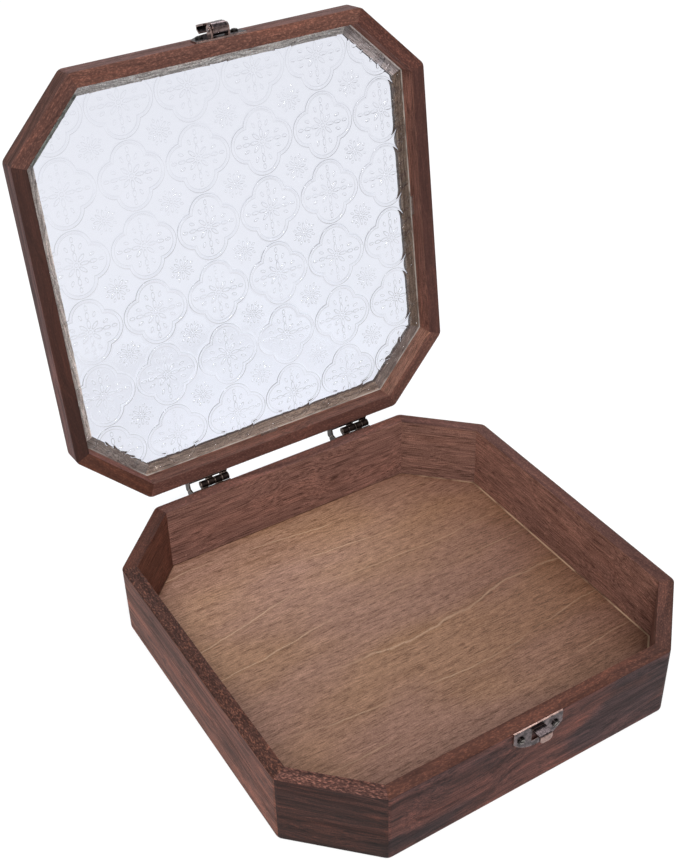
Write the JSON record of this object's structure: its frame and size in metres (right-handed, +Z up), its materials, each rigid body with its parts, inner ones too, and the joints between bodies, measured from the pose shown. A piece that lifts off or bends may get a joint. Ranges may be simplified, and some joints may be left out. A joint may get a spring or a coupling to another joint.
{
  "type": "tabletop display case",
  "caption": "Octagonal wooden tabletop display case with a hinged lid, patterned glass pane and small front hasp latch.",
  "frame": {"origin": "centre of the base's underside", "axes": "+Z up, +X to the right along the hinge line, +Y from the latch at the front to the hinges at the back"},
  "size_m": [0.2, 0.2536, 0.2435],
  "materials": {
    "walnut": "satin",
    "plywood": "satin",
    "pressed_glass": "gloss",
    "steel": "satin",
    "bronze": "aged"
  },
  "bodies": {
    "base": {"wall_front_left": "walnut", "wall_front": "walnut", "wall_front_right": "walnut", "wall_right": "walnut", "wall_back_right": "walnut", "wall_back": "walnut", "wall_back_left": "walnut", "wall_left": "walnut", "floor_panel": "plywood", "hinge_left_base_leaf": "bronze", "hinge_left_pin": "bronze", "hinge_right_base_leaf": "bronze", "hinge_right_pin": "bronze", "hinge_screws_base": "bronze", "catch_plate": "bronze", "catch_screws": "bronze"},
    "lid": {"rail_front_left": "walnut", "rail_front": "walnut", "rail_front_right": "walnut", "rail_right": "walnut", "rail_back_right": "walnut", "rail_back": "walnut", "rail_back_left": "walnut", "rail_left": "walnut", "glass_pane": "pressed_glass", "glazing_points": "steel", "hinge_left_lid_leaf": "bronze", "hinge_right_lid_leaf": "bronze", "hinge_screws_lid": "bronze", "latch_plate": "bronze", "latch_screws": "bronze", "latch_pin": "bronze"},
    "flap": {"latch_flap": "bronze"}
  },
  "joints": [
    {"name": "lid_hinge", "type": "hinge", "parent": "base", "child": "lid", "pos_m": [0, 0.1032, 0.0361], "axis": [-1, 0, 0], "range_deg": [-98, 0]},
    {"name": "latch_hinge", "type": "hinge", "parent": "lid", "child": "flap", "pos_m": [0, 0.13499, 0.24077], "axis": [-1, 0, 0], "range_deg": [-178, 0]}
  ]
}
